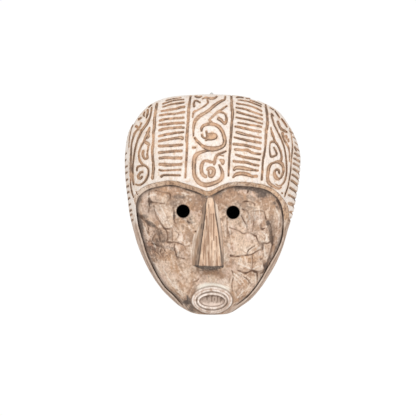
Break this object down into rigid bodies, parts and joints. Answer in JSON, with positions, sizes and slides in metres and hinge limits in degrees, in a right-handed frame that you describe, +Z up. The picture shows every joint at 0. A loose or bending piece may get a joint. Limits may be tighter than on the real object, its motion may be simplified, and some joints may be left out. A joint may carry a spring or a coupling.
{
  "type": "carved wooden wall mask",
  "caption": "Domed wooden wall mask with a carved hood over a recessed heart-shaped face, drilled eyes, wedge nose, oval mouth and a strap hanger behind the crown.",
  "frame": {"origin": "on the wall plane, at the height of the inside of the hanging ring's apex, where the wall hook goes", "axes": "+Z up the hung mask, -Y out of the wall towards the viewer, +X to the viewer's right"},
  "size_m": [0.2407, 0.097, 0.3026],
  "materials": {
    "wood_carved": "matte, whitewashed carving over brown wood",
    "steel_plated": "zinc plated"
  },
  "bodies": {
    "mask": {"mask_body": "wood_carved", "hanger_strap": "steel_plated", "hanger_screw_upper": "steel_plated", "hanger_screw_lower": "steel_plated"},
    "ring": {"hanger_ring": "steel_plated"}
  },
  "joints": [
    {"name": "ring_swing", "type": "hinge", "parent": "mask", "child": "ring", "pos_m": [0, -0.0029, -0.0156], "axis": [-1, 0, 0], "range_deg": [-3, 175]}
  ]
}
